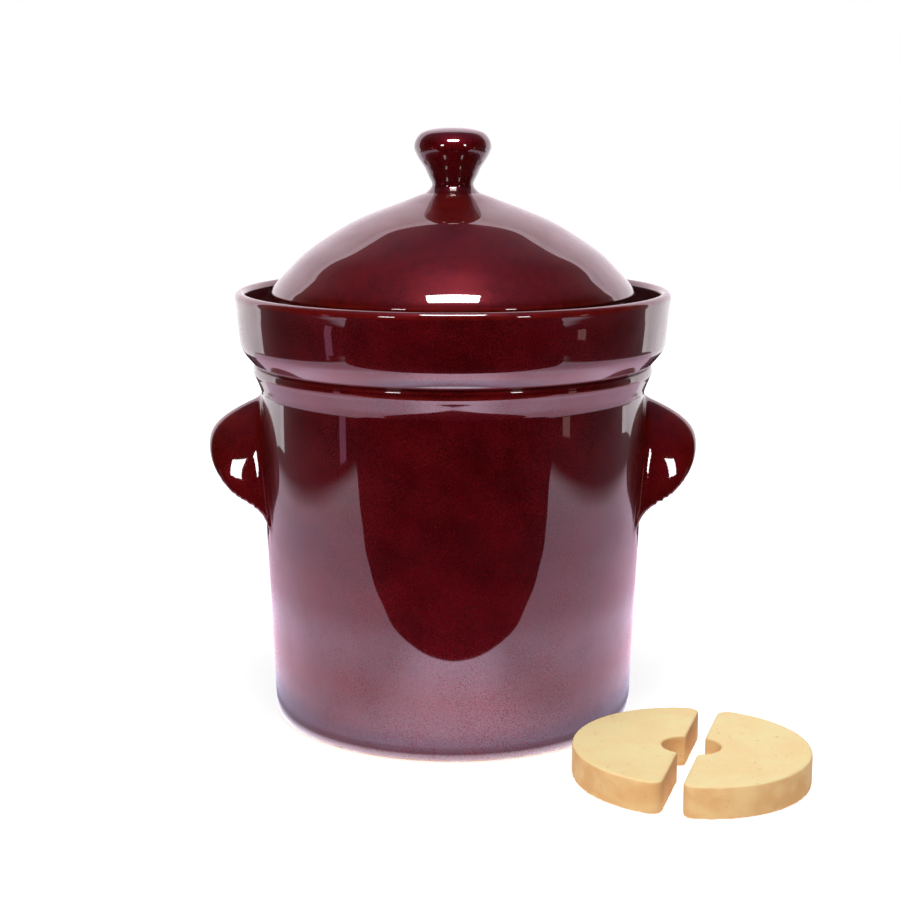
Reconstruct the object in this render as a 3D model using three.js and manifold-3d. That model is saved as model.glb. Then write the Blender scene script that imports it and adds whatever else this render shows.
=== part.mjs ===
// Water-sealed stoneware fermenting crock with its lid and its pair of weight stones.
// Millimetres, +Z up. The origin is on the crock's axis, on the surface that it stands on.
import * as THREE from "three";
import { mergeVertices } from "three/addons/utils/BufferGeometryUtils.js";
import Module from "manifold-3d";

// ---- Driving dimensions ----
const JOINT_GAP = 0.3; // clearance where two clay parts meet

// Vessel: wall, floor, bead and neck
const FOOT_RADIUS = 93;
const FOOT_EDGE_HEIGHT = 9;
const BODY_LOW_RADIUS = 97.5; // just above the foot edge
const BODY_MID_RADIUS = 101;
const BODY_MID_Z = 101;
const BODY_TOP_RADIUS = 102.3;
const WALL = 9.5;
const FLOOR = 11;
const FLOOR_CORNER = 12; // rounding between the wall and the floor, inside
const COVE_Z = 177; // where the wall ends and the bead begins
const BEAD_RADIUS = 107.2; // outermost point of the bead
const BEAD_Z = 187;
const SHOULDER_Z = 191; // top face of the shoulder, which carries the gutter ring
const SHOULDER_RADIUS = 104.6;
const NECK_RADIUS = 82;
const NECK_WALL = 7;
const NECK_TOP = 222;

// Water gutter
const GUTTER_FLOOR_Z = 203;
const GUTTER_BASE_RADIUS = 105.4;
const GUTTER_LOW_RADIUS = 113.6; // wall where it springs from the rounded underside
const GUTTER_LOW_Z = 204;
const GUTTER_WALL_RADIUS = 114.8;
const GUTTER_INNER_RADIUS = 109.5;
const GUTTER_FILLET = 6; // rounding between the wall and the floor of the gutter
const LIP_ROLL = 3; // radius of the rolled lip
const LIP_CENTRE_RADIUS = 113;
const LIP_CENTRE_Z = 227.6;

// Lid
const LID_EDGE_RADIUS = 96.5;
const LID_UNDERSIDE_Z = 226.2;
const LID_EDGE_Z = 229.2; // height of the outermost point of the lid
const LID_SEAT_RADIUS = 12.6; // flat top of the dome, under the knob
const LID_TOP_Z = 282.2;
const LID_THICKNESS = 8;
// The dome's outside between its top and its edge: radius, and height below the top
const DOME_FLANK = [
  [28, 5.8],
  [45.5, 12.4],
  [59, 19.2],
  [77, 31],
  [88.6, 42.6],
  [95, 49.6],
];
const SKIRT_OUTER_RADIUS = 92;
const SKIRT_INNER_RADIUS = 85.6;
const GAS_NOTCH_RADIUS = 4;

// Knob
const KNOB_NECK_RADIUS = 12;
const KNOB_NECK_Z = 285.5;
const KNOB_RADIUS = 20.3;
const KNOB_WIDEST_Z = 303.8;
const KNOB_TOP_Z = 315.5;

// Handles: arched lugs, hollow underneath for the fingers
const HANDLE_TIP_RADIUS = 131.3; // from the crock's axis
const HANDLE_TIP_Z = 150;
const HANDLE_TOP_Z = 174; // where the arch springs from the wall
const HANDLE_BOTTOM_Z = 106.5; // where its two arms end
const HANDLE_HALF_WIDTH = 32; // across the ends of the arms
const HANDLE_BURIED = 7; // how far the untrimmed lug goes into the wall
const HANDLE_TAPER = 0.8; // below 1, the arms stay thick until near their ends
const HANDLE_SLICES = 20;
// The lug's underside from its tip to the wall: share of the reach, and of the height above the tip
const HANDLE_UNDERSIDE = [
  [1, 0],
  [0.99, -0.12],
  [0.94, -0.2],
  [0.84, -0.19],
  [0.62, -0.12],
  [0.36, -0.24],
  [0.14, -0.6],
  [0.02, -1.05],
  [-0.1, -1.5],
];

// Weight stones
const STONE_RADIUS = 56.5;
const STONE_THICKNESS = 16;
const STONE_HOLE_RADIUS = 12;
const STONE_CORNER = 5.5; // rounding of the corners at the ends of the cut
const STONE_EDGE = 1.3; // rounding of the top and bottom edges
const STONE_KERF = 4.6; // clay that the cut took out between the two halves
const STONE_SPLIT = 9.6; // distance between the two cut faces as the halves lie
const STONE_CENTRE = new THREE.Vector2(118, -112);
const STONE_TURN = THREE.MathUtils.degToRad(-17); // the cut line, turned from the Y axis

// Mesh fineness
const TURNS = 56; // facets round the crock and the lid
const KNOB_TURNS = 32;

const GLAZE = { color: 0x4f0a0e, roughness: 0.08, metalness: 0 };
const CLAY = { color: 0xecd397, roughness: 0.9, metalness: 0 };

const wasm = await Module();
wasm.setup();

// ---- Helpers ----
function point(x, y) {
  return new THREE.Vector2(x, y);
}

// Points of a circular arc about (cx, cy), from angle a to angle b in degrees.
function arc(cx, cy, radius, a, b, steps) {
  const points = [];
  for (let i = 0; i <= steps; i++) {
    const angle = THREE.MathUtils.degToRad(a + ((b - a) * i) / steps);
    points.push(point(cx + radius * Math.cos(angle), cy + radius * Math.sin(angle)));
  }
  return points;
}

// Points of a smooth curve through the given ones.
function smooth(points, steps) {
  return new THREE.SplineCurve(points).getPoints(steps);
}

// A solid of revolution about Z. The profile is (radius, height), from axis to axis or a closed loop.
function revolve(profile, turns) {
  const geometry = new THREE.LatheGeometry(profile, turns);
  geometry.rotateX(Math.PI / 2);
  return geometry;
}

function toSolid(geometry) {
  const bare = geometry.clone();
  bare.deleteAttribute("normal");
  bare.deleteAttribute("uv");
  const merged = mergeVertices(bare, 1e-3);
  return new wasm.Manifold(
    new wasm.Mesh({
      numProp: 3,
      vertProperties: merged.attributes.position.array,
      triVerts: new Uint32Array(merged.index.array),
    }),
  );
}

function toGeometry(solid) {
  const mesh = solid.getMesh();
  const geometry = new THREE.BufferGeometry();
  geometry.setAttribute("position", new THREE.BufferAttribute(mesh.vertProperties, 3));
  geometry.setIndex(new THREE.BufferAttribute(mesh.triVerts, 1));
  geometry.computeVertexNormals();
  return geometry;
}

function named(name, geometry, look) {
  const mesh = new THREE.Mesh(geometry, new THREE.MeshStandardMaterial(look));
  mesh.name = name;
  return mesh;
}

// ---- Crock ----
// The wall's outer curve, from the foot edge to the cove, pushed outwards by grow.
function wallCurve(grow) {
  return smooth(
    [
      point(BODY_LOW_RADIUS + grow, FOOT_EDGE_HEIGHT),
      point(BODY_MID_RADIUS + grow, BODY_MID_Z),
      point(BODY_TOP_RADIUS + grow, COVE_Z),
    ],
    5,
  );
}

function makeVessel() {
  const neckInner = NECK_RADIUS - NECK_WALL;
  const insideRadius = BODY_TOP_RADIUS - WALL;
  const footEdge = new THREE.QuadraticBezierCurve(
    point(FOOT_RADIUS, 0),
    point(BODY_LOW_RADIUS - 0.6, 1.5),
    point(BODY_LOW_RADIUS, FOOT_EDGE_HEIGHT),
  ).getPoints(3);
  const beadDepth = BEAD_RADIUS - SHOULDER_RADIUS;
  const bead = new THREE.SplineCurve([
    point(BODY_TOP_RADIUS, COVE_Z),
    point(BODY_TOP_RADIUS + 0.6, COVE_Z + 4),
    point(BEAD_RADIUS - beadDepth / 4, BEAD_Z - 3),
    point(BEAD_RADIUS, BEAD_Z),
    point(BEAD_RADIUS - beadDepth / 4, BEAD_Z + 2.6),
    point(SHOULDER_RADIUS, SHOULDER_Z),
  ]).getPoints(8);
  const neckTop = arc(NECK_RADIUS - NECK_WALL / 2, NECK_TOP - NECK_WALL / 2, NECK_WALL / 2, 0, 180, 6);
  const underShoulder = new THREE.CubicBezierCurve(
    point(neckInner, SHOULDER_Z - 4),
    point(neckInner, SHOULDER_Z - 10),
    point(insideRadius, SHOULDER_Z - 12),
    point(insideRadius, SHOULDER_Z - 28),
  ).getPoints(5);
  const innerCorner = arc(
    BODY_LOW_RADIUS - WALL - FLOOR_CORNER,
    FLOOR + FLOOR_CORNER,
    FLOOR_CORNER,
    0,
    -90,
    4,
  );
  const profile = [
    point(0, 0),
    ...footEdge,
    ...wallCurve(0).slice(1),
    ...bead.slice(1),
    point(NECK_RADIUS, SHOULDER_Z),
    ...neckTop,
    ...underShoulder,
    ...innerCorner,
    point(0, FLOOR),
  ];
  return named("vessel", revolve(profile, TURNS), GLAZE);
}

function makeGutter() {
  const bottom = SHOULDER_Z + JOINT_GAP;
  const innerEdge = NECK_RADIUS + JOINT_GAP;
  const underside = new THREE.QuadraticBezierCurve(
    point(GUTTER_BASE_RADIUS, bottom),
    point(GUTTER_LOW_RADIUS - 0.8, bottom + 3.4),
    point(GUTTER_LOW_RADIUS, GUTTER_LOW_Z),
  ).getPoints(5);
  const lip = arc(LIP_CENTRE_RADIUS, LIP_CENTRE_Z, LIP_ROLL, -50, 195, 7);
  const innerFillet = arc(
    GUTTER_INNER_RADIUS - GUTTER_FILLET,
    GUTTER_FLOOR_Z + GUTTER_FILLET,
    GUTTER_FILLET,
    0,
    -90,
    4,
  );
  const profile = [
    point(innerEdge, bottom),
    ...underside,
    point(GUTTER_WALL_RADIUS - 0.2, LIP_CENTRE_Z - 8),
    ...lip,
    point(GUTTER_INNER_RADIUS + 0.4, LIP_CENTRE_Z - 5),
    ...innerFillet,
    point(innerEdge, GUTTER_FLOOR_Z),
    point(innerEdge, bottom),
  ];
  return named("water_gutter", revolve(profile, TURNS), GLAZE);
}

// The lug's section one share of the way from the middle of its arch (0) to the end of an arm (1).
function handleSection(share) {
  const y = HANDLE_HALF_WIDTH * share;
  const wallX = Math.sqrt(BODY_MID_RADIUS ** 2 - y ** 2);
  const taper = (1 - share ** 2) ** HANDLE_TAPER;
  const reach = (HANDLE_TIP_RADIUS - BODY_MID_RADIUS) * taper * (1 + share ** 2) ** HANDLE_TAPER;
  const tipZ = HANDLE_TIP_Z - (HANDLE_TIP_Z - HANDLE_BOTTOM_Z) * share ** 2;
  const height = (HANDLE_TOP_Z - HANDLE_TIP_Z) * taper;
  const place = (across, up) => new THREE.Vector3(wallX + reach * across, y, tipZ + height * up);
  const topSteps = 8;
  const section = [];
  for (let i = 0; i < topSteps; i++) {
    const up = 1 - i / topSteps;
    section.push(place(1 - up ** 2, up));
  }
  const underside = smooth(HANDLE_UNDERSIDE.map(([across, up]) => point(across, up)), 12);
  section.push(...underside.map((p) => place(p.x, p.y)));
  for (const end of [section.at(-1), section[0]]) {
    section.push(new THREE.Vector3(wallX - HANDLE_BURIED, y, end.z));
  }
  return section;
}

// An arched lug, thick at the middle and tapering to nothing at the ends of its two arms.
function handleBlank() {
  const positions = [];
  for (let i = 1; i < HANDLE_SLICES; i++) {
    const share = Math.sin(Math.PI * (i / HANDLE_SLICES - 0.5));
    for (const p of handleSection(share)) {
      positions.push(...p);
    }
  }
  const ring = positions.length / 3 / (HANDLE_SLICES - 1);
  const firstPole = positions.length / 3;
  const poleX = Math.sqrt(BODY_MID_RADIUS ** 2 - HANDLE_HALF_WIDTH ** 2) - HANDLE_BURIED / 2;
  positions.push(poleX, -HANDLE_HALF_WIDTH, HANDLE_BOTTOM_Z);
  positions.push(poleX, HANDLE_HALF_WIDTH, HANDLE_BOTTOM_Z);
  const indices = [];
  const last = (HANDLE_SLICES - 2) * ring;
  for (let j = 0; j < ring; j++) {
    const next = (j + 1) % ring;
    for (let a = 0; a < last; a += ring) {
      const b = a + ring;
      indices.push(a + j, a + next, b + j);
      indices.push(a + next, b + next, b + j);
    }
    indices.push(firstPole, next, j);
    indices.push(firstPole + 1, last + j, last + next);
  }
  const geometry = new THREE.BufferGeometry();
  geometry.setAttribute("position", new THREE.Float32BufferAttribute(positions, 3));
  geometry.setIndex(indices);
  return toSolid(geometry);
}

// The body's outside as a solid, one joint gap larger, which trims the handles' roots to its curve.
function bodyBlank() {
  const profile = [
    point(0, FOOT_EDGE_HEIGHT),
    ...wallCurve(JOINT_GAP),
    point(0, COVE_Z),
  ];
  return toSolid(revolve(profile, TURNS));
}

function makeHandles() {
  const right = handleBlank().subtract(bodyBlank());
  const geometry = toGeometry(right);
  const turned = geometry.clone().rotateZ(Math.PI);
  return [named("handle_right", geometry, GLAZE), named("handle_left", turned, GLAZE)];
}

// ---- Lid ----
function makeDome() {
  const outer = smooth(
    [
      point(LID_SEAT_RADIUS, LID_TOP_Z),
      ...DOME_FLANK.map(([radius, drop]) => point(radius, LID_TOP_Z - drop)),
      point(LID_EDGE_RADIUS, LID_EDGE_Z),
    ],
    12,
  );
  const edge = new THREE.QuadraticBezierCurve(
    point(LID_EDGE_RADIUS, LID_EDGE_Z),
    point(LID_EDGE_RADIUS - 0.4, LID_UNDERSIDE_Z),
    point(SKIRT_OUTER_RADIUS, LID_UNDERSIDE_Z),
  ).getPoints(3);
  // the inside follows the flank's first four points, moved in and down where it is steeper
  const inner = smooth(
    [
      point(0, LID_TOP_Z - LID_THICKNESS),
      ...DOME_FLANK.slice(0, 4).map(([radius, drop]) => {
        const steepness = drop / radius;
        const below = LID_THICKNESS * (1 + steepness / 2);
        return point(radius - LID_THICKNESS * steepness * 0.6, LID_TOP_Z - drop - below);
      }),
      point(SKIRT_INNER_RADIUS - 1, LID_UNDERSIDE_Z + 4),
    ],
    7,
  );
  const profile = [
    ...inner,
    point(SKIRT_INNER_RADIUS - 0.6, LID_UNDERSIDE_Z),
    ...edge.reverse(),
    ...outer.reverse().slice(1),
    point(0, LID_TOP_Z),
  ];
  return named("lid_dome", revolve(profile, TURNS), GLAZE);
}

// The ring under the lid that stands in the water. Two notches in its lower edge let the gas bubble out.
function makeSkirt() {
  const top = LID_UNDERSIDE_Z - JOINT_GAP;
  const bottom = GUTTER_FLOOR_Z + JOINT_GAP;
  const middle = (SKIRT_OUTER_RADIUS + SKIRT_INNER_RADIUS) / 2;
  const round = (SKIRT_OUTER_RADIUS - SKIRT_INNER_RADIUS) / 2;
  const profile = [
    point(SKIRT_INNER_RADIUS, top),
    point(SKIRT_INNER_RADIUS, bottom + round),
    ...arc(middle, bottom + round, round, 180, 360, 5).slice(1),
    point(SKIRT_OUTER_RADIUS, top),
    point(SKIRT_INNER_RADIUS, top),
  ];
  const ring = toSolid(revolve(profile, TURNS));
  const drill = new THREE.CylinderGeometry(GAS_NOTCH_RADIUS, GAS_NOTCH_RADIUS, 3 * SKIRT_OUTER_RADIUS, 16);
  drill.translate(0, 0, bottom);
  return named("lid_skirt", toGeometry(ring.subtract(toSolid(drill))), GLAZE);
}

function makeKnob() {
  const bottom = LID_TOP_Z + JOINT_GAP;
  const headHeight = KNOB_TOP_Z - KNOB_WIDEST_Z;
  const outline = smooth(
    [
      point(KNOB_NECK_RADIUS + 0.5, bottom),
      point(KNOB_NECK_RADIUS, KNOB_NECK_Z),
      point(KNOB_NECK_RADIUS + 2.3, KNOB_NECK_Z + 5.6),
      point(KNOB_RADIUS - 2.2, KNOB_WIDEST_Z - 6.3),
      point(KNOB_RADIUS, KNOB_WIDEST_Z),
      point(KNOB_RADIUS - 2.6, KNOB_WIDEST_Z + headHeight * 0.6),
      point(KNOB_RADIUS - 8, KNOB_WIDEST_Z + headHeight * 0.9),
      point(5, KNOB_TOP_Z - 0.2),
    ],
    16,
  );
  const profile = [point(0, bottom), ...outline, point(0, KNOB_TOP_Z)];
  return named("lid_knob", revolve(profile, KNOB_TURNS), GLAZE);
}

// ---- Weight stones ----
// Half a disc about the origin, on the +X side of its cut, with a round notch and rounded corners.
function stoneOutline(inset) {
  const shape = new THREE.Shape();
  const radius = STONE_RADIUS - inset;
  const hole = STONE_HOLE_RADIUS + inset;
  const corner = STONE_CORNER - inset;
  const cut = STONE_KERF / 2 + inset;
  // centre of the corner arc: it touches the cut and the rim from inside
  const cornerX = cut + corner;
  const cornerY = Math.sqrt((radius - corner) ** 2 - cornerX ** 2);
  const rimAngle = Math.atan2(cornerY, cornerX);
  const notchY = Math.sqrt(hole ** 2 - cut ** 2);
  const notchAngle = Math.atan2(notchY, cut);
  shape.moveTo(cut, notchY);
  shape.lineTo(cut, cornerY);
  shape.absarc(cornerX, cornerY, corner, Math.PI, rimAngle, true);
  shape.absarc(0, 0, radius, rimAngle, -rimAngle, true);
  shape.absarc(cornerX, -cornerY, corner, -rimAngle, -Math.PI, true);
  shape.lineTo(cut, -notchY);
  shape.absarc(0, 0, hole, -notchAngle, notchAngle, false);
  return shape;
}

function makeStone(name, halfTurn) {
  const geometry = new THREE.ExtrudeGeometry(stoneOutline(STONE_EDGE), {
    depth: STONE_THICKNESS - 2 * STONE_EDGE,
    curveSegments: 10,
    bevelThickness: STONE_EDGE,
    bevelSize: STONE_EDGE,
    bevelSegments: 1,
  });
  geometry.translate((STONE_SPLIT - STONE_KERF) / 2, 0, STONE_EDGE);
  geometry.rotateZ(STONE_TURN + halfTurn);
  geometry.translate(STONE_CENTRE.x, STONE_CENTRE.y, 0);
  return named(name, geometry, CLAY);
}

// ---- Assembly ----
const crock = new THREE.Group();
crock.add(makeVessel());
crock.add(makeGutter());
crock.add(...makeHandles());

const lid = new THREE.Group();
lid.add(makeDome());
lid.add(makeSkirt());
lid.add(makeKnob());

const stones = new THREE.Group();
stones.add(makeStone("weight_stone_right", 0));
stones.add(makeStone("weight_stone_left", Math.PI));

const fermenter = new THREE.Group();
fermenter.add(crock, lid, stones);

export default fermenter;
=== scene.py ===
"""Looks of a water-sealed stoneware fermenting crock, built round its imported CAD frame. Metres, +Z up."""
import math

import bpy
import numpy as np
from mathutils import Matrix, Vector


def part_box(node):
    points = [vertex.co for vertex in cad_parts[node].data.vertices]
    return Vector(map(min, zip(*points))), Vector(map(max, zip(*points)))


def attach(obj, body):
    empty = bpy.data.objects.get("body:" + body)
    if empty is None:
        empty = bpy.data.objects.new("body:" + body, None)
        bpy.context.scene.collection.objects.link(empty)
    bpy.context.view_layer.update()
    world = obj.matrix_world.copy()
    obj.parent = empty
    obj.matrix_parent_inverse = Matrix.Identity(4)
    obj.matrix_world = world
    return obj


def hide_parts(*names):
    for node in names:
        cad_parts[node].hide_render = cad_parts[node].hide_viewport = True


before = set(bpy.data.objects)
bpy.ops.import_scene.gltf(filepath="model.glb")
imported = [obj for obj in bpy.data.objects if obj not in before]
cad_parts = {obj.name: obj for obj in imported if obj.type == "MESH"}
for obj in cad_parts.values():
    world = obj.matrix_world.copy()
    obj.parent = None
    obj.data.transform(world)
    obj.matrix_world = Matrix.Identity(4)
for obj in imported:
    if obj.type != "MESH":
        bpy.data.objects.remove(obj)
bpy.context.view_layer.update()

MM = 0.001

# ---- Camera ----
CAMERA_PLACE = (-0.0015, -0.96, 0.326)
CAMERA_PITCH = math.radians(10.79)  # looking down
CAMERA_LENS = 72.0  # on a sensor 36 mm wide

# ---- Mesh fineness ----
STEP = 1.0 * MM  # between points along a profile
TURNS = 168  # points round the crock and the lid
KNOB_TURNS = 96
HANDLE_STEP = 0.9 * MM
STONE_VOXEL = 0.9 * MM

# ---- Where the glaze draws back ----
THIN_RADIUS = 4.5 * MM  # an edge rounded more tightly than about this shows the clay's colour
THIN_MOST = 0.45

# ---- Light tent behind the crock, as the lid mirrors it ----
TENT_CENTRE = (0.0, 0.0, 0.25)
TENT_RADIUS = 1.5
TENT_TOP = math.radians(54)  # from straight behind to its edge, overhead
TENT_SIDE = math.radians(64)  # and level with the crock
TENT_START = math.radians(-36)  # its two ends, as turned about the line straight behind
TENT_END = math.radians(216)
TENT_LOW = 1.3  # brightness at the crock's height
TENT_HIGH = 1.15  # and at its top
TENT_HEM = 0.4  # more along its edge

# ---- Colours, linear ----
WHITE = (1, 1, 1, 1)
GLAZE_DEEP = (0.028, 0.0001, 0.0008, 1)
GLAZE_RED = (0.052, 0.0003, 0.0016, 1)
GLAZE_BROWN = (0.040, 0.0008, 0.0006, 1)
# also used all over the lid as a painted lift for the light falling on its top
GLAZE_THIN = (0.150, 0.0060, 0.0008, 1)
GLAZE_SPECK_LIGHT = (0.135, 0.0090, 0.0040, 1)
GLAZE_SPECK_DARK = (0.014, 0.0002, 0.0006, 1)
GLAZE_CRYSTAL = (0.135, 0.0070, 0.0060, 1)
GLAZE_HAZE = (0.45, 0.015, 0.040, 1)  # the soft shine of the red crystals under the glaze's surface
CLAY_FOOT = (0.600, 0.4100, 0.2800, 1)
STONE_PALE = (0.880, 0.7200, 0.3800, 1)
STONE_WARM = (0.880, 0.6600, 0.3300, 1)
# painted shade: the darker, warmer colour given to the stones' sides
STONE_SIDE_SHADE = (0.700, 0.3900, 0.1550, 1)
STONE_PIT = (0.600, 0.3600, 0.1500, 1)


# ---- Reading the frame ----
def box(node):
    low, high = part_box(node)
    return Vector(low), Vector(high)


VESSEL = box("vessel")
GUTTER = box("water_gutter")
DOME = box("lid_dome")
SKIRT = box("lid_skirt")
KNOB = box("lid_knob")


# ---- Curves: arrays of (radius, height), going up the outside and back down the inside ----
def arc(centre_r, centre_z, radius, start, end):
    """Points about every STEP round an arc, from one angle to another in degrees."""
    steps = max(3, math.ceil(radius * math.radians(abs(end - start)) / (0.6 * STEP)))
    angles = np.radians(np.linspace(start, end, steps + 1))
    return np.column_stack([centre_r + radius * np.cos(angles), centre_z + radius * np.sin(angles)])


def spline(*points, step=STEP):
    """Points about every step along a smooth curve through the given ones."""
    p = np.array(points, float)
    p = np.vstack([2 * p[0] - p[1], p, 2 * p[-1] - p[-2]])
    runs = []
    for a, b, c, d in zip(p, p[1:], p[2:], p[3:]):
        count = max(2, math.ceil(np.linalg.norm(c - b) / step))
        t = np.arange(count)[:, None] / count
        cubic = 2 * b + (c - a) * t + (2 * a - 5 * b + 4 * c - d) * t**2 + (3 * b - a - 3 * c + d) * t**3
        runs.append(0.5 * cubic)
    return np.vstack([*runs, p[-2:-1]])


def line(*points, step=STEP):
    """Points about every step along straight runs between the given ones."""
    p = np.array(points, float)
    runs = []
    for a, b in zip(p, p[1:]):
        count = max(1, math.ceil(np.linalg.norm(b - a) / step))
        runs.append(a + (b - a) * np.arange(count)[:, None] / count)
    return np.vstack([*runs, p[-1:]])


def joined(*runs):
    """One profile from several runs, without the points that repeat."""
    points = np.vstack(runs)
    apart = np.linalg.norm(np.diff(points, axis=0), axis=1) > 0.02 * MM
    return points[np.r_[True, apart]]


def thinness(profile, closed):
    """How far the glaze draws back at each point: most where a profile bulges tightly, 0 where flat."""
    before = np.roll(profile, 1, axis=0)
    after = np.roll(profile, -1, axis=0)
    if not closed:
        before[0] = profile[0]
        after[-1] = profile[-1]
    back = profile - before
    ahead = after - profile
    length = 0.5 * (np.linalg.norm(back, axis=1) + np.linalg.norm(ahead, axis=1)) + 1e-9
    turn = np.arctan2(back[:, 0] * ahead[:, 1] - back[:, 1] * ahead[:, 0], (back * ahead).sum(axis=1))
    bulge = turn / length
    window = np.hanning(7)
    evened = np.convolve(np.pad(bulge, 3, mode="edge"), window / window.sum(), mode="valid")
    return np.clip(0.7 * (evened * THIN_RADIUS - 0.6), 0, THIN_MOST)


# ---- Meshes ----
def add_piece(name, vertices, faces, **values):
    """An object with smooth faces. Each keyword is a value at every vertex, read by that name."""
    mesh = bpy.data.meshes.new(name)
    mesh.from_pydata([tuple(v) for v in vertices], [], [tuple(f) for f in faces])
    mesh.validate()
    mesh.update()
    for key, numbers in values.items():
        mesh.attributes.new(key, "FLOAT", "POINT").data.foreach_set("value", np.asarray(numbers, np.float32))
    mesh.polygons.foreach_set("use_smooth", [True] * len(mesh.polygons))
    piece = bpy.data.objects.new(name, mesh)
    bpy.context.scene.collection.objects.link(piece)
    return piece


def hand_made(radius, height, angle):
    """A thrown wall isn't perfectly round: its radius at this height and angle."""
    oval = 0.12 * MM * np.sin(2 * angle + 0.7 + 6 * height) + 0.07 * MM * np.sin(3 * angle + 14 * height)
    rings = 0.006 * MM * np.sin(height / (3.1 * MM) + 1.5 * np.sin(angle))
    return radius + (oval + rings) * np.clip(radius / (30 * MM), 0, 1)


def revolve(name, profile, turns=TURNS, closed=False, painted_lift_all_over=0.0):
    """Turns a profile about Z. An open profile starts and ends on the axis."""
    # An extra value all over is a painted lift towards the thin glaze's orange-red, standing in for light
    # falling on the piece.
    thin = thinness(profile, closed) + painted_lift_all_over
    angles = np.arange(turns) * 2 * math.pi / turns
    vertices, values, rings = [], [], []
    for (radius, height), value in zip(profile, thin):
        if radius < 0.01 * MM:
            rings.append([len(vertices)] * turns)
            vertices.append((0, 0, height))
            values.append(value)
            continue
        rings.append(list(range(len(vertices), len(vertices) + turns)))
        wobbly = hand_made(radius, height, angles)
        vertices += zip(wobbly * np.cos(angles), wobbly * np.sin(angles), [height] * turns)
        values += [value] * turns
    faces = []
    pairs = list(zip(rings, rings[1:] + rings[:1]))
    for lower, upper in pairs if closed else pairs[:-1]:
        for i in range(turns):
            j = (i + 1) % turns
            corners = [lower[i], lower[j], upper[j], upper[i]]
            face = list(dict.fromkeys(corners))
            if len(face) > 2:
                faces.append(face)
    return add_piece(name, vertices, faces, thin=values)


def cut(piece, cutter):
    """Cuts one mesh out of another and removes the cutter."""
    tool = piece.modifiers.new("cut", "BOOLEAN")
    tool.operation = "DIFFERENCE"
    tool.solver = "EXACT"
    tool.object = cutter
    apply_modifiers(piece)
    bpy.data.objects.remove(cutter)


def apply_modifiers(piece):
    shaped = bpy.data.meshes.new_from_object(piece.evaluated_get(bpy.context.evaluated_depsgraph_get()))
    piece.modifiers.clear()
    piece.data = shaped
    shaped.polygons.foreach_set("use_smooth", [True] * len(shaped.polygons))


# ---- Shaders ----
class Shader:
    """A material's node tree, with short calls for the nodes used here."""

    def __init__(self, name):
        self.material = bpy.data.materials.new(name)
        self.material.use_nodes = True
        self.tree = self.material.node_tree
        self.surface = self.tree.nodes["Principled BSDF"]
        self.coordinates = self.tree.nodes.new("ShaderNodeTexCoord")

    def node(self, kind, inputs=(), **settings):
        made = self.tree.nodes.new(kind)
        for name, value in settings.items():
            setattr(made, name, value)
        for socket, value in dict(inputs).items():
            self.feed(made.inputs[socket], value)
        return made

    def feed(self, socket, value):
        if isinstance(value, bpy.types.NodeSocket):
            self.tree.links.new(value, socket)
        else:
            socket.default_value = value

    def set(self, **values):
        for name, value in values.items():
            self.feed(self.surface.inputs[name.replace("_", " ")], value)

    def stretched(self, x, y, z):
        """The piece's own coordinates, scaled along each axis."""
        inputs = {"Vector": self.coordinates.outputs["Object"], "Scale": (x, y, z)}
        return self.node("ShaderNodeMapping", inputs).outputs["Vector"]

    def noise(self, size, detail=3.0, rough=0.55, stretch=(1, 1, 1)):
        """Noise whose lumps are about size metres across."""
        inputs = {"Vector": self.stretched(*stretch), "Scale": 1 / size}
        inputs.update(Detail=detail, Roughness=rough)
        return self.node("ShaderNodeTexNoise", inputs).outputs["Fac"]

    def range(self, value, low, high, to_low=0.0, to_high=1.0):
        inputs = {"Value": value, "From Min": low, "From Max": high, "To Min": to_low, "To Max": to_high}
        return self.node("ShaderNodeMapRange", inputs, interpolation_type="SMOOTHSTEP").outputs["Result"]

    def maths(self, operation, a, b):
        return self.node("ShaderNodeMath", {0: a, 1: b}, operation=operation).outputs["Value"]

    def mix(self, factor, a, b):
        """A colour between a and b."""
        made = self.node("ShaderNodeMix", data_type="RGBA")
        colours = [s for s in made.inputs if s.type == "RGBA"]
        self.feed(made.inputs["Factor"], factor)
        self.feed(colours[0], a)
        self.feed(colours[1], b)
        return next(s for s in made.outputs if s.type == "RGBA")

    def distance(self):
        """From the crock's axis, on the table."""
        place = self.coordinates.outputs["Object"]
        return self.node("ShaderNodeVectorMath", {0: place}, operation="LENGTH").outputs["Value"]

    def height(self):
        split = self.node("ShaderNodeSeparateXYZ", {0: self.coordinates.outputs["Object"]})
        return split.outputs["Z"]

    def bump(self, height, distance, strength=1.0, under=None):
        inputs = {"Height": height, "Distance": distance, "Strength": strength}
        if under is not None:
            inputs["Normal"] = under
        return self.node("ShaderNodeBump", inputs).outputs["Normal"]


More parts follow.
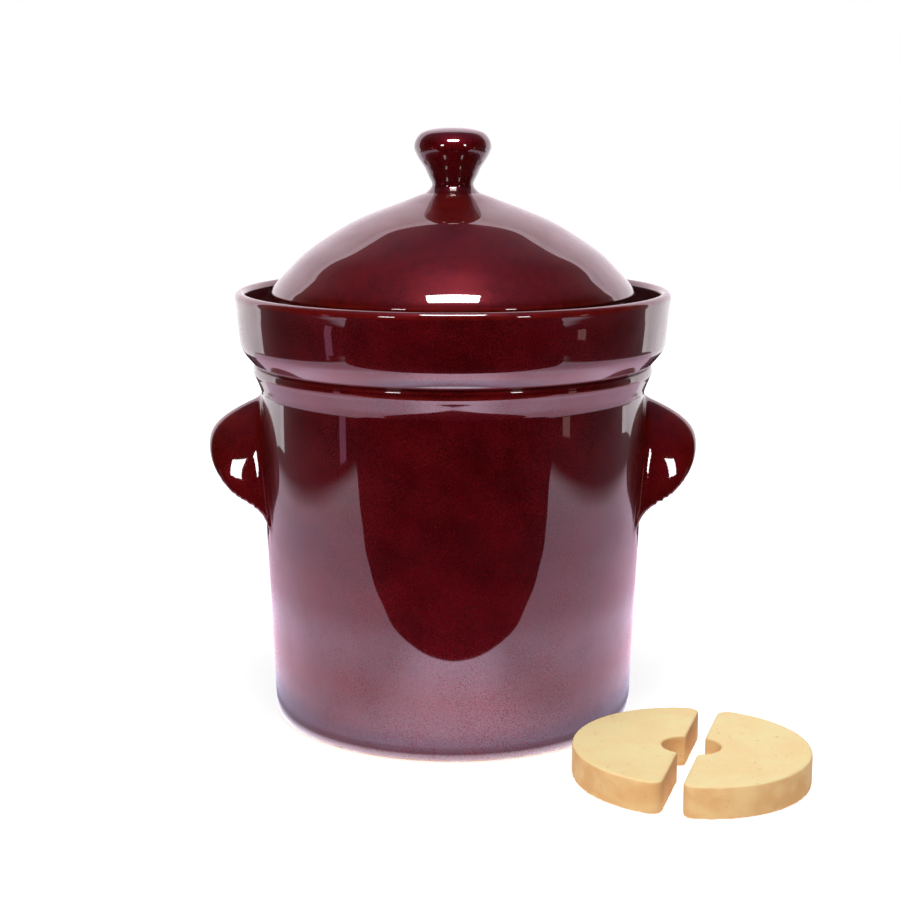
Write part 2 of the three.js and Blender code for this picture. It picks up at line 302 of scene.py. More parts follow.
def glaze_colour(s):
    """Cloudy oxblood, brown in the runs, orange-red where it's thin, with light and dark specks. On the lid
    the thin value also holds a painted lift for light falling on its top.
    """
    clouds = s.noise(26 * MM, 5.0, 0.6)
    runs = s.noise(9 * MM, 4.0, 0.6, stretch=(1, 1, 0.22))
    base = s.mix(s.range(clouds, 0.36, 0.66), GLAZE_DEEP, GLAZE_RED)
    base = s.mix(s.range(runs, 0.50, 0.78, 0.0, 0.7), base, GLAZE_BROWN)
    # thin is the glaze's real thinning, and on the lid also a painted lift for light from above.
    thin = s.node("ShaderNodeAttribute", attribute_name="thin").outputs["Fac"]
    uneven = s.maths("MULTIPLY", thin, s.range(s.noise(6 * MM, 3.0), 0.25, 0.7, 0.35, 1.0))
    base = s.mix(uneven, base, GLAZE_THIN)
    light_specks = s.range(s.noise(0.9 * MM, 1.5, 0.5), 0.62, 0.74, 0.0, 0.55)
    patchy = s.range(s.noise(14 * MM, 2.0), 0.35, 0.65, 0.3, 1.0)
    base = s.mix(s.maths("MULTIPLY", light_specks, patchy), base, GLAZE_SPECK_LIGHT)
    dark_specks = s.range(s.noise(1.5 * MM, 1.5, 0.5), 0.66, 0.76, 0.0, 0.8)
    return s.mix(dark_specks, base, GLAZE_SPECK_DARK)


def glaze_crystals(s):
    """How far fine crystals break the gloss: in patches, and more towards the foot."""
    fine = s.range(s.noise(0.7 * MM, 3.0, 0.75), 0.42, 0.72)
    patches = s.range(s.noise(17 * MM, 3.0), 0.3, 0.7, 0.15, 0.55)
    low_down = s.range(s.height(), 0, 110 * MM, 0.30, 0.0)
    return s.maths("MULTIPLY", fine, s.maths("ADD", patches, low_down))


def make_glaze(name, foot=False):
    """Glossy oxblood glaze over soft red crystals. With a foot, bare clay shows just above the table."""
    s = Shader(name)
    broken = glaze_crystals(s)
    base = s.mix(s.maths("MULTIPLY", broken, 0.8), glaze_colour(s), GLAZE_CRYSTAL)
    roughness = s.range(s.noise(20 * MM, 2.0), 0.3, 0.7, 0.34, 0.44)
    coat = s.maths("SUBTRACT", 1.0, broken)
    if foot:
        edge = s.maths("ADD", s.height(), s.range(s.noise(7 * MM, 2.0), 0.3, 0.7, -0.5 * MM, 0.5 * MM))
        bare = s.range(edge, 1.2 * MM, 1.7 * MM, 1.0, 0.0)
        base = s.mix(bare, base, CLAY_FOOT)
        roughness = s.maths("MAXIMUM", roughness, s.maths("MULTIPLY", bare, 0.8))
        coat = s.maths("MULTIPLY", coat, s.maths("SUBTRACT", 1.0, bare))
    waves = s.bump(s.noise(24 * MM, 1.0, 0.4), 0.35 * MM, 0.45)
    peel = s.bump(s.noise(3.2 * MM, 1.0, 0.4), 0.06 * MM, 0.4, under=waves)
    s.set(Base_Color=base, Roughness=roughness, Normal=peel, Coat_Weight=coat)
    s.set(IOR=1.75, Specular_Tint=GLAZE_HAZE, Coat_IOR=1.9, Coat_Roughness=0.03)
    return s.material


def make_clay(name):
    """Unglazed buff clay with fine grit and small pits, paler on top, with painted shade making its sides
    darker and warmer.
    """
    s = Shader(name)
    clouds = s.range(s.noise(22 * MM, 4.0, 0.6), 0.35, 0.65)
    top = s.mix(clouds, STONE_PALE, STONE_WARM)
    # Painted shade: faces that turn from up to sideways take the darker side colour, for the less light that
    # falls on them.
    facing = s.node("ShaderNodeSeparateXYZ", {0: s.coordinates.outputs["Normal"]}).outputs["Z"]
    side = s.range(facing, 0.35, 0.9, 1.0, 0.0)
    smears = s.range(s.noise(14 * MM, 3.0, 0.5, stretch=(1, 1, 1.6)), 0.3, 0.7)
    shaded_flank = s.mix(s.maths("MULTIPLY", smears, 0.45), STONE_SIDE_SHADE, STONE_WARM)
    base = s.mix(side, top, shaded_flank)
    grit = s.range(s.noise(0.7 * MM, 2.0, 0.6), 0.6, 0.75, 0.0, 0.35)
    base = s.mix(grit, base, STONE_PIT)
    pits = s.range(s.noise(2.4 * MM, 2.0, 0.5), 0.68, 0.76)
    base = s.mix(s.maths("MULTIPLY", pits, 0.5), base, STONE_PIT)
    rough = s.bump(s.noise(0.9 * MM, 4.0, 0.65), 0.25 * MM, 0.5)
    rough = s.bump(s.maths("MULTIPLY", pits, -1.0), 0.3 * MM, 0.6, under=rough)
    s.set(Base_Color=base, Normal=rough, Roughness=s.range(s.noise(5 * MM, 2.0), 0.3, 0.7, 0.82, 0.95))
    s.set(IOR=1.4)
    return s.material


# ---- Crock ----
CLAY_GAP = 0.3 * MM  # between neighbouring CAD solids
FOOT_RADIUS = 93 * MM
FOOT_EDGE = (97.5 * MM, 8.6 * MM)
WALL_TOP = (102.4 * MM, 177.0 * MM)
BEAD_RADIUS = VESSEL[1].x
SHOULDER_Z = GUTTER[0].z - CLAY_GAP
WALL = 9.5 * MM
FLOOR_Z = 11 * MM
FLOOR_FILLET = 12 * MM
NECK_OUTER = 82 * MM
NECK_WALL = 7 * MM
LIP_UNDER = -15  # where the lip's roll meets the ring's wall, in degrees below level


def wall_curve():
    """The vessel's wall, from the top of the foot edge to the cove under the bead."""
    return spline(FOOT_EDGE, (98.9 * MM, 50 * MM), (101.0 * MM, 101 * MM), (102.1 * MM, 150 * MM), WALL_TOP)


def make_vessel():
    bead = spline(
        WALL_TOP,
        (WALL_TOP[0] + 0.9 * MM, WALL_TOP[1] + 3.0 * MM),
        (BEAD_RADIUS - 1.7 * MM, SHOULDER_Z - 5.6 * MM),
        (BEAD_RADIUS - 0.7 * MM, SHOULDER_Z - 3.2 * MM),
        (BEAD_RADIUS - 0.8 * MM, SHOULDER_Z - 1.2 * MM),
        (BEAD_RADIUS - 1.6 * MM, SHOULDER_Z + 0.5 * MM),
        (BEAD_RADIUS - 5.5 * MM, SHOULDER_Z + 0.6 * MM),
        step=0.5 * MM,
    )
    foot = spline((FOOT_RADIUS, 0), (95.6 * MM, 1.0 * MM), (97.0 * MM, 4.0 * MM), FOOT_EDGE, step=0.5 * MM)
    half = NECK_WALL / 2
    neck_round_z = VESSEL[1].z - half  # where its rounded top begins
    inner = NECK_OUTER - NECK_WALL
    inside = WALL_TOP[0] - WALL
    low_inside = FOOT_EDGE[0] - WALL
    profile = joined(
        line((0, 0), (FOOT_RADIUS, 0), step=4 * MM),
        foot,
        wall_curve(),
        bead,
        line((bead[-1][0], SHOULDER_Z), (NECK_OUTER, SHOULDER_Z), (NECK_OUTER, neck_round_z), step=3 * MM),
        arc(NECK_OUTER - half, neck_round_z, half, 0, 180),
        line((inner, neck_round_z), (inner, SHOULDER_Z - 4 * MM), step=3 * MM),
        spline(
            (inner, SHOULDER_Z - 4 * MM),
            (inner + 2.5 * MM, SHOULDER_Z - 10 * MM),
            (inside - 4 * MM, SHOULDER_Z - 17 * MM),
            (inside, SHOULDER_Z - 28 * MM),
            step=2 * MM,
        ),
        line((inside, SHOULDER_Z - 28 * MM), (low_inside, FLOOR_Z + FLOOR_FILLET), step=4 * MM),
        arc(low_inside - FLOOR_FILLET, FLOOR_Z + FLOOR_FILLET, FLOOR_FILLET, 0, -90),
        line((low_inside - FLOOR_FILLET, FLOOR_Z), (0, FLOOR_Z), step=6 * MM),
    )
    return revolve("crock_body", profile)


def make_gutter():
    bottom, top = GUTTER[0].z, GUTTER[1].z
    roll = 3 * MM
    lip_r = GUTTER[1].x - roll
    lip_z = top - roll
    wall_r = GUTTER[1].x - 1.2 * MM
    inner_r = GUTTER[1].x - 6.5 * MM
    floor_z = SKIRT[0].z - CLAY_GAP
    inner_edge = NECK_OUTER - 0.4 * MM
    fillet = 6 * MM
    outside = spline(
        (wall_r - 10.4 * MM, bottom - 0.6 * MM),
        (wall_r - 6.6 * MM, bottom + 3.6 * MM),
        (wall_r - 3.4 * MM, bottom + 7.6 * MM),
        (wall_r - 1.5 * MM, bottom + 11.2 * MM),
        (wall_r - 0.8 * MM, bottom + 16 * MM),
        (wall_r - 0.1 * MM, bottom + 24 * MM),
        (wall_r + 0.3 * MM, lip_z - 6.5 * MM),
        (wall_r + 0.8 * MM, lip_z - 2.6 * MM),
        arc(lip_r, lip_z, roll, LIP_UNDER, 0)[0],
        step=0.7 * MM,
    )
    inside = spline(
        (lip_r - roll, lip_z),
        (inner_r + 0.5 * MM, lip_z - 5 * MM),
        (inner_r, lip_z - 10 * MM),
        (inner_r, floor_z + fillet),
    )
    profile = joined(
        line((inner_edge, bottom - 0.6 * MM), outside[0], step=3 * MM),
        outside,
        arc(lip_r, lip_z, roll, LIP_UNDER, 180),
        inside,
        arc(inner_r - fillet, floor_z + fillet, fillet, 0, -90),
        line((inner_r - fillet, floor_z), (inner_edge, floor_z), (inner_edge, bottom), step=3 * MM),
    )
    return revolve("gutter_ring", profile, closed=True)


# ---- Handles: arched lugs, hollow underneath, joined to the wall with a fillet of soft clay ----
HANDLE_TIP = 131.3 * MM
HANDLE_TIP_Z = 150 * MM
HANDLE_TOP_Z = 174 * MM
HANDLE_BOTTOM_Z = 106.5 * MM
HANDLE_HALF_WIDTH = 32 * MM
HANDLE_TAPER = 0.8
HANDLE_WALL = 101 * MM  # radius that the lug's reach is counted from
HANDLE_NOSE = 5 * MM  # rounding of the rim
HANDLE_FILLET = 7 * MM
HANDLE_SINK = 0.06 * MM  # brings the thin edge of the fillet just under the wall's surface
HANDLE_HIDDEN = 0.03 * MM  # faces deeper in the wall than this are left out
HANDLE_UNDERSIDE = [  # the hollow's roof from the wall outwards, as shares of the lug's reach and height
    (-0.3, -2.2),
    (-0.1, -1.5),
    (0.02, -1.05),
    (0.14, -0.6),
    (0.36, -0.24),
    (0.62, -0.12),
    (0.9, -0.19),
]


def wall_radius(z):
    wall = wall_curve()
    return np.interp(z, wall[:, 1], wall[:, 0])


def as_distance(field):
    """Makes a field on the lug's grid change by about one metre per metre."""
    slope = np.sqrt(sum(g**2 for g in np.gradient(field, HANDLE_STEP)))
    return field / np.maximum(slope, 0.12)


def round_join(a, b, radius):
    """The lower of two distances, with a fillet of about that radius where they meet."""
    near = np.clip(radius - np.abs(a - b), 0, None) / radius
    return np.minimum(a, b) - near**3 * radius / 6


def handle_field(x, y, z):
    """Below 0 inside the wall or the lug. The taper multiplies its formulas, to keep the ends gentle."""
    share = np.clip(y / HANDLE_HALF_WIDTH, -1, 1)
    taper = (1 - share**2) ** HANDLE_TAPER
    reach = (HANDLE_TIP - HANDLE_WALL) * (1 + share**2) ** HANDLE_TAPER
    tip_z = HANDLE_TIP_Z - (HANDLE_TIP_Z - HANDLE_BOTTOM_Z) * share**2
    height = HANDLE_TOP_Z - HANDLE_TIP_Z
    wall_x = np.sqrt(HANDLE_WALL**2 - (HANDLE_HALF_WIDTH * share) ** 2)
    across = (x - wall_x) / reach
    up = (z - tip_z) / height
    past_end = np.clip(np.abs(y) - HANDLE_HALF_WIDTH, 0, None)
    outside = as_distance((across * taper + up * np.abs(up) - taper**2) * height) + past_end
    curve = np.array(HANDLE_UNDERSIDE)
    underside = np.interp(across / np.maximum(taper, 0.01), curve[:, 0], curve[:, 1]) * taper
    below = as_distance((underside - up) * height) + past_end
    lug = -round_join(-outside, -below, HANDLE_NOSE)
    wall = np.hypot(x, y) - wall_radius(z)
    return round_join(lug, wall, HANDLE_FILLET) + HANDLE_SINK


def zero_surface(field):
    """Quads over a field's zero surface, in grid steps, with a vertex in each cell that it crosses."""
    cells = np.array(field.shape) - 1
    total = np.zeros((*cells, 3))
    count = np.zeros(cells)
    quads = []
    for axis in range(3):
        low = np.take(field, range(cells[axis]), axis)
        high = np.take(field, range(1, cells[axis] + 1), axis)
        b, c = (axis + 1) % 3, (axis + 2) % 3
        edges = np.argwhere((low < 0) != (high < 0))
        inner = (edges[:, [b, c]] > 0) & (edges[:, [b, c]] < cells[[b, c]])
        edges = edges[inner.all(axis=1)]
        at = tuple(edges.T)
        points = edges.astype(float)
        points[:, axis] += low[at] / (low[at] - high[at])
        corners = []
        for back_b, back_c in ((0, 0), (1, 0), (1, 1), (0, 1)):
            cell = edges.copy()
            cell[:, b] -= back_b
            cell[:, c] -= back_c
            np.add.at(total, tuple(cell.T), points)
            np.add.at(count, tuple(cell.T), 1)
            corners.append(np.ravel_multi_index(tuple(cell.T), tuple(cells)))
        quad = np.stack(corners, axis=1)
        quads.append(np.where((low[at] < 0)[:, None], quad, quad[:, ::-1]))
    vertices = total.reshape(-1, 3) / np.maximum(count.reshape(-1, 1), 1)
    return vertices, np.vstack(quads)


def eased(vertices, quads, rounds):
    """Moves each vertex halfway to the middle of its neighbours, a few times."""
    for _ in range(rounds):
        total = np.zeros_like(vertices)
        count = np.zeros((len(vertices), 1))
        for a, b in ((0, 1), (1, 2), (2, 3), (3, 0)):
            for start, end in ((a, b), (b, a)):
                np.add.at(total, quads[:, start], vertices[quads[:, end]])
                np.add.at(count, quads[:, start], 1)
        vertices = np.where(count > 0, (vertices + total / np.maximum(count, 1)) / 2, vertices)
    return vertices


def handle_thinness(x, y, z):
    """The glaze draws back along the lug's crest, and more where the lug springs from the wall high up."""
    crest = np.clip((x - 108 * MM) / (20 * MM), 0, 1) * np.exp(-((y / (14 * MM)) ** 2))
    high_root = np.exp(-(((z - 163 * MM) / (9 * MM)) ** 2) - (y / (15 * MM)) ** 2)
    return 0.22 + 0.15 * crest + 0.60 * high_root


def make_handle(name, side):
    """One lug, on a grid that reaches a little way round it and into the wall. side is 1 on +X, -1 on -X."""
    low = np.array([HANDLE_WALL - 13 * MM, -HANDLE_HALF_WIDTH - 10 * MM, HANDLE_BOTTOM_Z - 12 * MM])
    high = np.array([HANDLE_TIP + 3 * MM, HANDLE_HALF_WIDTH + 10 * MM, HANDLE_TOP_Z + 8 * MM])
    axes = [np.arange(a, b, HANDLE_STEP) for a, b in zip(low, high)]
    vertices, quads = zero_surface(handle_field(*np.meshgrid(*axes, indexing="ij")))
    vertices = low + HANDLE_STEP * eased(vertices, quads, 3)
    proud = np.hypot(vertices[:, 0], vertices[:, 1]) - wall_radius(vertices[:, 2]) > -HANDLE_HIDDEN
    quads = quads[proud[quads].any(axis=1)]
    used, quads = np.unique(quads, return_inverse=True)
    x, y, z = vertices[used].T
    angle = np.arctan2(side * y, side * x)
    wobbly = hand_made(np.hypot(x, y), z, angle)
    placed = np.column_stack([wobbly * np.cos(angle), wobbly * np.sin(angle), z])
    return add_piece(name, placed, quads.reshape(-1, 4), thin=handle_thinness(x, y, z))


# ---- Lid ----
def make_dome():
    low, high = DOME
    edge = high.x
    under = low.z
    top = high.z
    thick = 8 * MM
    skirt_outer = SKIRT[1].x - 1 * MM
    skirt_inner = SKIRT[1].x - 7.3 * MM
    outside = spline(
        (edge, under + 3.4 * MM),
        (edge - 2.2 * MM, top - 48.6 * MM),
        (edge - 8.2 * MM, top - 41.8 * MM),
        (edge - 19.5 * MM, top - 31.0 * MM),
        (edge - 37.5 * MM, top - 19.2 * MM),
        (edge - 51.0 * MM, top - 12.4 * MM),
        (28 * MM, top - 5.8 * MM),
        (12.6 * MM, top - 0.3 * MM),
        (0, top + 0.6 * MM),
    )
    inside = spline(
        (0, top - thick),
        (28 * MM, top - 5.8 * MM - 1.05 * thick),
        (edge - 39 * MM, top - 19.2 * MM - 1.15 * thick),
        (edge - 21.5 * MM, top - 31.0 * MM - 1.2 * thick),
        (skirt_inner - 0.2 * MM, under + 4 * MM),
        (skirt_inner, under),
        step=2 * MM,
    )
    rim = spline(
        (skirt_outer, under),
        (edge - 2.2 * MM, under + 0.3 * MM),
        (edge - 0.5 * MM, under + 1.5 * MM),
        (edge, under + 3.4 * MM),
        step=0.5 * MM,
    )
    profile = joined(inside, line((skirt_inner, under), (skirt_outer, under)), rim, outside)
    # Painted light: the whole lid is lifted towards the thin glaze's orange-red, standing in for the light
    # that falls on its top.
    return revolve("lid_cover", profile, painted_lift_all_over=0.34)


SKIRT_WALL = 6.4 * MM
NOTCH_RADIUS = 4 * MM  # lets gas out under the skirt


def make_skirt():
    outer = SKIRT[1].x
    inner = outer - SKIRT_WALL
    half = (outer - inner) / 2
    bottom, top = SKIRT[0].z, SKIRT[1].z + 0.8 * MM
    profile = joined(
        line((inner, top), (inner, bottom + half), step=2 * MM),
        arc((inner + outer) / 2, bottom + half, half, 180, 360),
        line((outer, bottom + half), (outer, top), step=2 * MM),
    )
    ring = revolve("lid_ring", profile, closed=True)
    place = (0, 0, bottom)
    bpy.ops.mesh.primitive_cylinder_add(vertices=48, radius=NOTCH_RADIUS, depth=3 * outer, location=place)
    drill = bpy.context.object
    drill.rotation_euler.x = math.pi / 2
    cut(ring, drill)
    return ring


def make_knob():
    low, high = KNOB
    widest = high.x
    top = high.z
    belly = top - 9.7 * MM
    neck = 10.9 * MM
    foot = low.z - 0.9 * MM
    profile = joined(
        line((0, foot - 1 * MM), (neck + 4.6 * MM, foot - 1 * MM), step=2 * MM),
        spline(
            (neck + 4.6 * MM, foot - 1 * MM),
            (neck + 2.0 * MM, foot + 1.0 * MM),
            (neck + 0.4 * MM, foot + 2.9 * MM),
            (neck + 0.1 * MM, foot + 5.0 * MM),
            (widest - 7.3 * MM, belly - 15.0 * MM),
            (widest - 5.4 * MM, belly - 10.9 * MM),
            (widest - 2.4 * MM, belly - 6.3 * MM),
            (widest - 0.5 * MM, belly - 2.6 * MM),
            (widest, belly + 0.2 * MM),
            (widest - 1.0 * MM, belly + 3.6 * MM),
            (widest - 3.6 * MM, belly + 6.7 * MM),
            (widest - 7.6 * MM, top - 1.3 * MM),
            (widest - 13.5 * MM, top - 0.3 * MM),
            (0, top),
            step=0.7 * MM,
        ),
    )
    return revolve("knob", profile, turns=KNOB_TURNS)


# ---- Weight stones ----
STONE_RADIUS = 56.5 * MM
STONE_HOLE = 12 * MM
STONE_CORNER = 5.5 * MM
STONE_KERF = 4.6 * MM
STONE_TURN = math.radians(-17)


def stone_outline():
    """Half a disc on the +X side of its cut, round the origin, with a round notch and rounded corners."""
    cut_x = STONE_KERF / 2
    corner_x = cut_x + STONE_CORNER
    corner_y = math.sqrt((STONE_RADIUS - STONE_CORNER) ** 2 - corner_x**2)
    rim = math.degrees(math.atan2(corner_y, corner_x))
    notch = math.degrees(math.acos(cut_x / STONE_HOLE))
    return joined(
        arc(0, 0, STONE_HOLE, notch, -notch),
        arc(corner_x, -corner_y, STONE_CORNER, -180, -rim),
        arc(0, 0, STONE_RADIUS, -rim, rim),
        arc(corner_x, corner_y, STONE_CORNER, rim, 180),
    )


def make_stone(name, node, half_turn):
    low, high = box(node)
    outline = stone_outline()
    turn = STONE_TURN + half_turn
    turned = outline @ np.array([[math.cos(turn), math.sin(turn)], [-math.sin(turn), math.cos(turn)]])
    turned += [(low.x + high.x) / 2, (low.y + high.y) / 2] - (turned.min(axis=0) + turned.max(axis=0)) / 2
    count = len(turned)
    vertices = [(x, y, height) for height in (low.z, high.z) for x, y in turned]
    walls = [(i, (i + 1) % count, (i + 1) % count + count, i + count) for i in range(count)]
    stone = add_piece(name, vertices, [list(range(count))[::-1], list(range(count, 2 * count)), *walls])
    remesh = stone.modifiers.new("soften", "REMESH")
    remesh.mode = "VOXEL"
    remesh.voxel_size = STONE_VOXEL
    ease = stone.modifiers.new("ease", "CORRECTIVE_SMOOTH")
    ease.factor = 0.5
    ease.iterations = 3
    ease.use_only_smooth = True
    apply_modifiers(stone)
    return stone


# ---- Stage ----
def add_camera():
    data = bpy.data.cameras.new("camera")
    data.lens = CAMERA_LENS
    data.sensor_width = 36
    data.clip_start = 0.01
    camera = bpy.data.objects.new("camera", data)
    camera.location = CAMERA_PLACE
    camera.rotation_euler = (math.pi / 2 - CAMERA_PITCH, 0, 0)
    bpy.context.scene.collection.objects.link(camera)
    bpy.context.scene.camera = camera


def add_area_light(name, place, target, size, power, mirrored=False):
    """A soft light that only lights, or one that only the gloss shows."""
    data = bpy.data.lights.new(name, "AREA")
    data.shape = "RECTANGLE"
    data.size, data.size_y = size
    data.energy = power
    light = bpy.data.objects.new(name, data)
    light.location = place
    light.rotation_euler = (Vector(target) - Vector(place)).to_track_quat("-Z", "Y").to_euler()
    light.visible_camera = False
    light.visible_glossy = mirrored
    light.visible_diffuse = not mirrored
    bpy.context.scene.collection.objects.link(light)


def stage_piece(name, vertices, faces, material, seen, **values):
    """A floor or card. seen is "camera", which also takes shadows, or "mirror", for the gloss alone."""
    piece = add_piece(name, vertices, faces, **values)
    piece.data.materials.append(material)
    piece.visible_camera = seen == "camera"
    piece.visible_diffuse = seen == "camera"
    piece.visible_shadow = seen == "camera"
    piece.visible_transmission = seen == "camera"
    piece.visible_glossy = seen == "mirror"


def make_floor_material():
    """A white sweep: it takes a soft shadow round the object, and its glow is painted dimmer near the
    object, a painted shadow, then burns out to white further away.
    """
    s = Shader("pale_floor")
    distance = s.distance()
    s.set(Base_Color=(0.50, 0.50, 0.505, 1), Roughness=0.95, Emission_Color=WHITE)
    # Painted shadow: the glow is dimmer close to the object's axis and rises to full white further out.
    s.set(Emission_Strength=s.range(distance, 0.25, 0.9, 0.70, 1.0), Specular_IOR_Level=0.0)
    return s.material


def glow(s, colour, strength):
    """Makes a shader's material only give off light."""
    light = s.node("ShaderNodeEmission", {"Color": colour, "Strength": strength})
    s.tree.links.new(light.outputs[0], s.tree.nodes["Material Output"].inputs["Surface"])
    return s.material


TABLE_BRIGHTNESS = 2.6
TABLE_COLOURS = {  # by distance from the crock's axis: a pale ring at its foot, its shadow, the pink table
    0.099: (0.80, 0.76, 0.90, 1),
    0.105: (0.14, 0.13, 0.18, 1),
    0.118: (0.34, 0.32, 0.45, 1),
    0.142: (0.54, 0.40, 0.52, 1),
    0.175: (0.58, 0.38, 0.49, 1),
    0.235: (0.58, 0.44, 0.58, 1),
    0.310: (0.43, 0.28, 0.37, 1),
    0.450: (0.35, 0.25, 0.33, 1),
    0.750: (0.42, 0.34, 0.40, 1),
}


def make_table_glow():
    """The lit table as the glaze mirrors it: brightest along the middle, and gone far to each side."""
    s = Shader("table_glow")
    ramp = s.node("ShaderNodeValToRGB", {"Fac": s.distance()})
    ramp.color_ramp.interpolation = "EASE"
    elements = ramp.color_ramp.elements
    while len(elements) < len(TABLE_COLOURS):
        elements.new(1.0)
    for element, (where, colour) in zip(elements, TABLE_COLOURS.items()):
        element.position = where
        element.color = colour
    split = s.node("ShaderNodeSeparateXYZ", {0: s.coordinates.outputs["Object"]})
    sideways = s.maths("ABSOLUTE", split.outputs["X"], 0.0)
    depth = s.maths("ABSOLUTE", split.outputs["Y"], 0.0)
    fade = s.range(sideways, 0.55, 0.66, 1.0, 0.0)
    middle = s.range(sideways, 0.03, 0.13, 0.75, 0.0)
    middle = s.maths("MULTIPLY", middle, s.range(depth, 0.0, 0.10, 0.0, 1.0))
    strength = s.maths("MULTIPLY", fade, s.maths("ADD", middle, 1.0))
    return glow(s, ramp.outputs["Color"], s.maths("MULTIPLY", strength, TABLE_BRIGHTNESS))


FLOOR_HALF = 6.0
SEEN_FLOOR_Z = -0.3 * MM
MIRRORED_TABLE_Z = -0.2 * MM


def add_floor():
    quarters = ((-1, -1), (1, -1), (1, 1), (-1, 1))
    corners = [(x * FLOOR_HALF, y * FLOOR_HALF, SEEN_FLOOR_Z) for x, y in quarters]
    stage_piece("floor", corners, [(0, 1, 2, 3)], make_floor_material(), "camera")


def add_mirrored_table():
    """The lit part of the table. It ends close in front of the crock, so the glaze mirrors a dark arch."""
    edge = spline(
        (0, -0.236),
        (0.16, -0.24),
        (0.36, -0.30),
        (0.62, -0.42),
        (0.84, -0.42),
        (0.84, 0.25),
        (0.72, 0.50),
        (0.40, 0.40),
        (0, 0.34),
        (-0.40, 0.40),
        (-0.66, 0.46),
        (-0.72, 0.25),
        (-0.70, -0.25),
        (-0.66, -0.44),
        (-0.50, -0.385),
        (-0.29, -0.29),
        (-0.13, -0.243),
        (0, -0.236),
        step=0.03,
    )[:-1]
    count = len(edge)
    middle_share = 0.25
    outer = [(x, y, MIRRORED_TABLE_Z) for x, y in edge]
    inner = [(middle_share * x, middle_share * y, MIRRORED_TABLE_Z) for x, y in edge]
    faces = [(i, (i + 1) % count, (i + 1) % count + count, i + count) for i in range(count)]
    faces.append(tuple(range(count, 2 * count)))
    stage_piece("floor_mirrored", outer + inner, faces, make_table_glow(), "mirror")


def add_wall_card(name, bearing, width, distance, low, high, colour, strength):
    """An upright lit card at a bearing in degrees from the front, towards +X."""
    angle = math.radians(bearing)
    away = Vector((math.sin(angle), -math.cos(angle), 0))
    along = Vector((math.cos(angle), math.sin(angle), 0))
    corners = []
    for offset, height in ((-width / 2, low), (width / 2, low), (width / 2, high), (-width / 2, high)):
        corner = away * distance + along * offset
        corners.append((corner.x, corner.y, height))
    stage_piece(name, corners, [(0, 1, 2, 3)], glow(Shader(name), colour, strength), "mirror")


CEILING_COLOUR = (0.5, 0.5, 1.0, 1)
CEILING_STRENGTH = 0.12


def add_world():
    """White for the camera, a little soft light for everything, and in the glaze only a dim ceiling."""
    world = bpy.data.worlds.new("studio")
    world.use_nodes = True
    bpy.context.scene.world = world
    nodes = world.node_tree.nodes
    link = world.node_tree.links.new
    nodes.clear()

    def background(colour, strength):
        made = nodes.new("ShaderNodeBackground")
        made.inputs["Color"].default_value = colour
        made.inputs["Strength"].default_value = strength
        return made

    def choose(ray, otherwise, chosen):
        made = nodes.new("ShaderNodeMixShader")
        link(path.outputs[ray], made.inputs["Fac"])
        link(otherwise.outputs[0], made.inputs[1])
        link(chosen.outputs[0], made.inputs[2])
        return made

    path = nodes.new("ShaderNodeLightPath")
    soft = background(WHITE, 0.10)
    seen = background(WHITE, 1.0)
    mirrored = background(CEILING_COLOUR, 0.0)
    direction = nodes.new("ShaderNodeTexCoord")
    split = nodes.new("ShaderNodeSeparateXYZ")
    overhead = nodes.new("ShaderNodeMapRange")
    overhead.inputs["From Min"].default_value = 0.5
    overhead.inputs["To Max"].default_value = CEILING_STRENGTH
    link(direction.outputs["Generated"], split.inputs[0])
    link(split.outputs["Z"], overhead.inputs["Value"])
    link(overhead.outputs["Result"], mirrored.inputs["Strength"])
    lighting = choose("Is Glossy Ray", soft, mirrored)
    output = nodes.new("ShaderNodeOutputWorld")
    link(choose("Is Camera Ray", lighting, seen).outputs[0], output.inputs["Surface"])


def add_lights():
    middle = (0, 0, 0.2)
    add_area_light("softbox", (0.0, -0.19, 0.51), (0, -0.085, 0.245), (0.140, 0.070), 0.8, mirrored=True)
    add_area_light("key", (-0.85, -1.25, 0.95), middle, (1.0, 0.8), 11.0)
    add_area_light("top_fill", (0.1, -0.5, 1.6), middle, (1.0, 1.0), 20.0)
    add_area_light("back_fill", (0.5, 1.5, 1.0), middle, (1.4, 1.0), 12.0)


def make_tent_glow():
    s = Shader("tent_glow")
    low = TENT_CENTRE[2]
    height = s.range(s.height(), low, low + 0.95 * TENT_RADIUS, TENT_LOW, TENT_HIGH)
    out = s.node("ShaderNodeAttribute", attribute_name="out").outputs["Fac"]
    hem = s.range(out, 0.90, 0.96, 0.0, TENT_HEM)
    tint = s.mix(s.range(s.height(), 0.0, 0.9), (1.0, 0.96, 1.0, 1), (0.95, 0.80, 0.90, 1))
    return glow(s, tint, s.maths("ADD", height, hem))


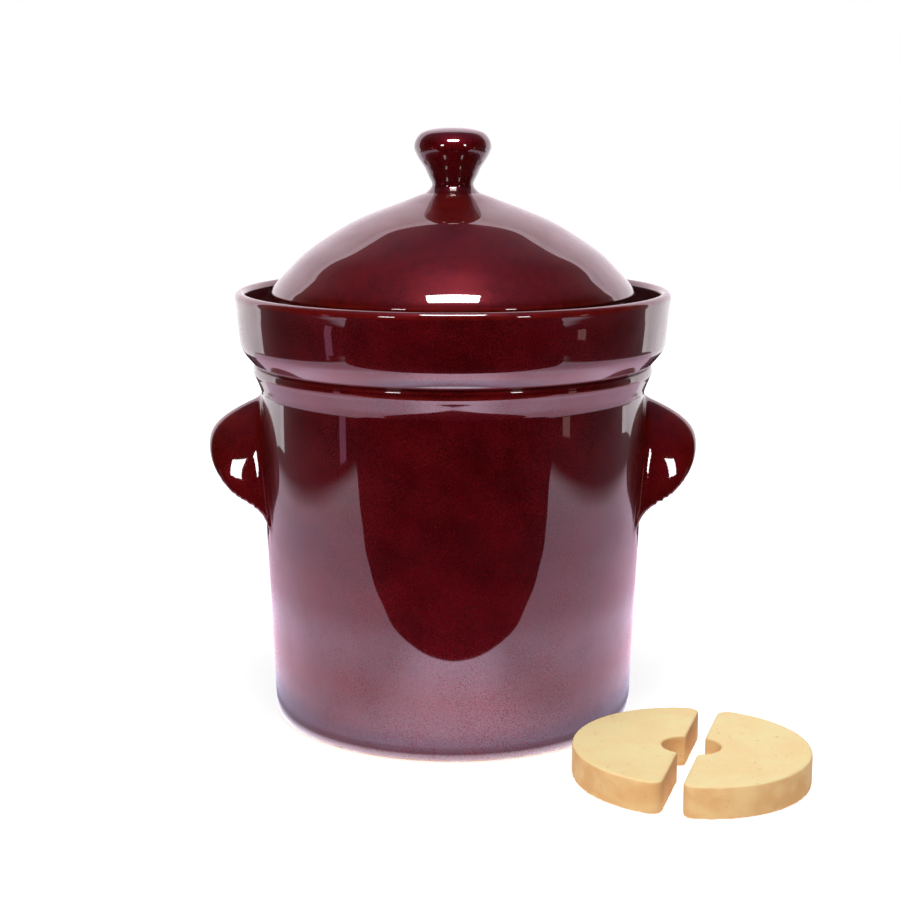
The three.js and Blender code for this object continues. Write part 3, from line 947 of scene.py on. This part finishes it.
def add_light_tent():
    """The part of a round white tent that stands behind the crock and over it."""
    vertices, out_values, faces = [], [], []
    across, rings = 48, 20
    for ring in range(rings + 1):
        for step in range(across + 1):
            turn = TENT_START + (TENT_END - TENT_START) * step / across
            opening = TENT_SIDE + (TENT_TOP - TENT_SIDE) * max(0, math.sin(turn))
            off = opening * max(ring, 0.1) / rings
            x = math.sin(off) * math.cos(turn)
            z = math.sin(off) * math.sin(turn)
            vertices.append(Vector(TENT_CENTRE) + TENT_RADIUS * Vector((x, math.cos(off), z)))
            out_values.append(ring / rings)
    for ring in range(rings):
        for step in range(across):
            inner = ring * (across + 1) + step
            outer = inner + across + 1
            faces.append((inner, outer, outer + 1, inner + 1))
    stage_piece("tent_mirrored", vertices, faces, make_tent_glow(), "mirror", out=out_values)


def add_stage():
    scene = bpy.context.scene
    scene.view_settings.view_transform = "Standard"
    add_world()
    add_lights()
    add_floor()
    add_mirrored_table()
    add_light_tent()
    add_wall_card("window_left", -33, 0.17, 1.2, 0.54, 0.74, WHITE, 14)
    add_wall_card("window_right", 35, 0.13, 1.2, 0.54, 0.75, WHITE, 14)
    add_wall_card("streak_left", -64, 0.07, 0.95, -0.7, 0.3, (0.80, 0.32, 0.56, 1), 0.9)
    add_wall_card("streak_right", 66, 0.08, 0.95, -0.7, 0.3, (0.80, 0.50, 0.42, 1), 0.9)


# ---- Assembly ----
def finish_piece(piece, body, nodes, material):
    piece.data.materials.clear()
    piece.data.materials.append(material)
    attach(piece, body)
    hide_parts(*nodes)


def main():
    add_camera()
    crock_glaze = make_glaze("crock_glaze_fine", foot=True)
    lid_glaze = make_glaze("lid_glaze_fine")
    clay = make_clay("bare_clay_fine")
    finish_piece(make_vessel(), "crock", ["vessel"], crock_glaze)
    finish_piece(make_gutter(), "crock", ["water_gutter"], crock_glaze)
    finish_piece(make_handle("lug_right", 1), "crock", ["handle_right"], crock_glaze)
    finish_piece(make_handle("lug_left", -1), "crock", ["handle_left"], crock_glaze)
    finish_piece(make_dome(), "lid", ["lid_dome"], lid_glaze)
    finish_piece(make_skirt(), "lid", ["lid_skirt"], lid_glaze)
    finish_piece(make_knob(), "lid", ["lid_knob"], lid_glaze)
    right = make_stone("stone_half_right", "weight_stone_right", 0)
    left = make_stone("stone_half_left", "weight_stone_left", math.pi)
    finish_piece(right, "stone_right", ["weight_stone_right"], clay)
    finish_piece(left, "stone_left", ["weight_stone_left"], clay)
    for stone in (right, left):
        stone.visible_glossy = False
    add_stage()


main()
